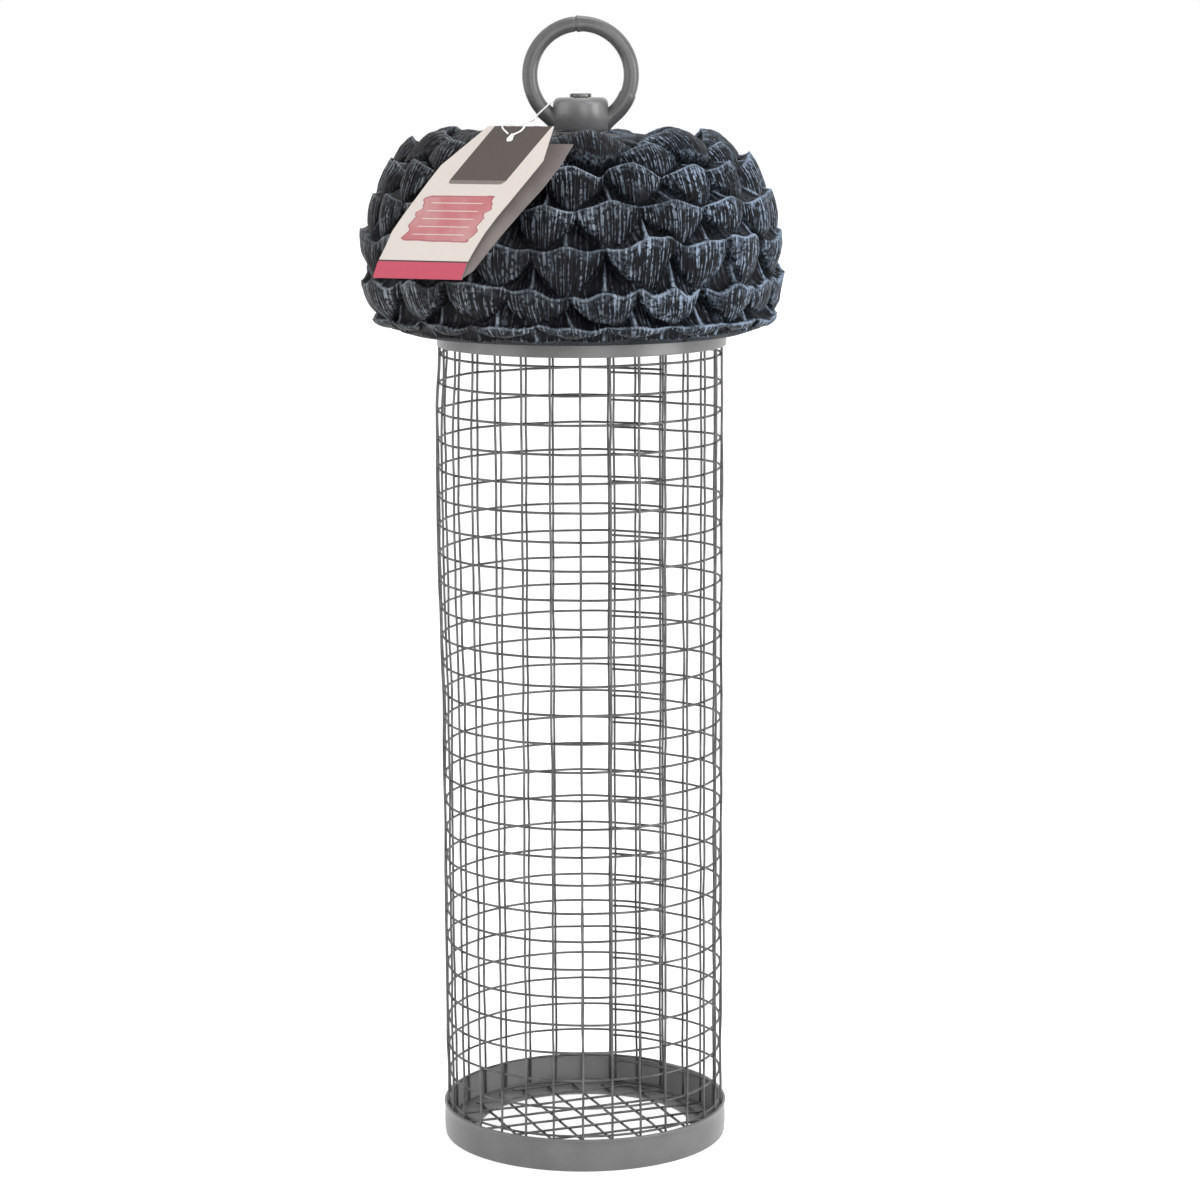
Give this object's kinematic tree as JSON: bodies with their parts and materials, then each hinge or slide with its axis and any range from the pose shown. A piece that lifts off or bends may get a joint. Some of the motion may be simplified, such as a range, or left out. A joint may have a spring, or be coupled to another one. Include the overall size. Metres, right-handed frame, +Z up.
{
  "type": "wire mesh bird feeder",
  "caption": "Welded wire mesh tube feeder on a base cup, under a cast pine cone lid with a swivelling hanging ring and a blank swing tag.",
  "frame": {"origin": "centre of the base cup's underside, on the surface the feeder stands on", "axes": "+Z up along the tube's axis, -Y to the front, where the tag hangs, and +X to the right seen from the front"},
  "size_m": [0.1128, 0.1153, 0.3043],
  "materials": {
    "mesh_steel": "satin grey coat on welded wire",
    "grey_paint": "satin grey coat",
    "painted_resin": "near black, brushed pale blue-grey on the raised edges",
    "dark_zinc": "dark plated",
    "cream_card": "matt, blank panels and stripes",
    "white_cotton": "twisted thread"
  },
  "bodies": {
    "cage": {"base_cup": "grey_paint", "floor_mesh": "mesh_steel", "mesh_uprights": "mesh_steel", "mesh_hoops": "mesh_steel", "top_collar": "grey_paint"},
    "lid": {"lid_pan": "grey_paint", "pine_cone": "painted_resin", "centre_stud": "dark_zinc", "nut_washer": "dark_zinc", "stud_nut": "dark_zinc", "hub_washer": "grey_paint"},
    "hanger": {"swivel_hub": "grey_paint", "hanging_ring": "grey_paint", "swing_tag": "cream_card", "string_knot": "white_cotton", "tag_string": "white_cotton"}
  },
  "joints": [
    {"name": "lid_lift", "type": "slide", "parent": "cage", "child": "lid", "axis": [0, 0, 1], "range_m": [0, 0.08]},
    {"name": "hub_swivel", "type": "hinge", "parent": "lid", "child": "hanger", "pos_m": [0, 0, 0.27433], "axis": [0, 0, 1], "continuous": true}
  ]
}
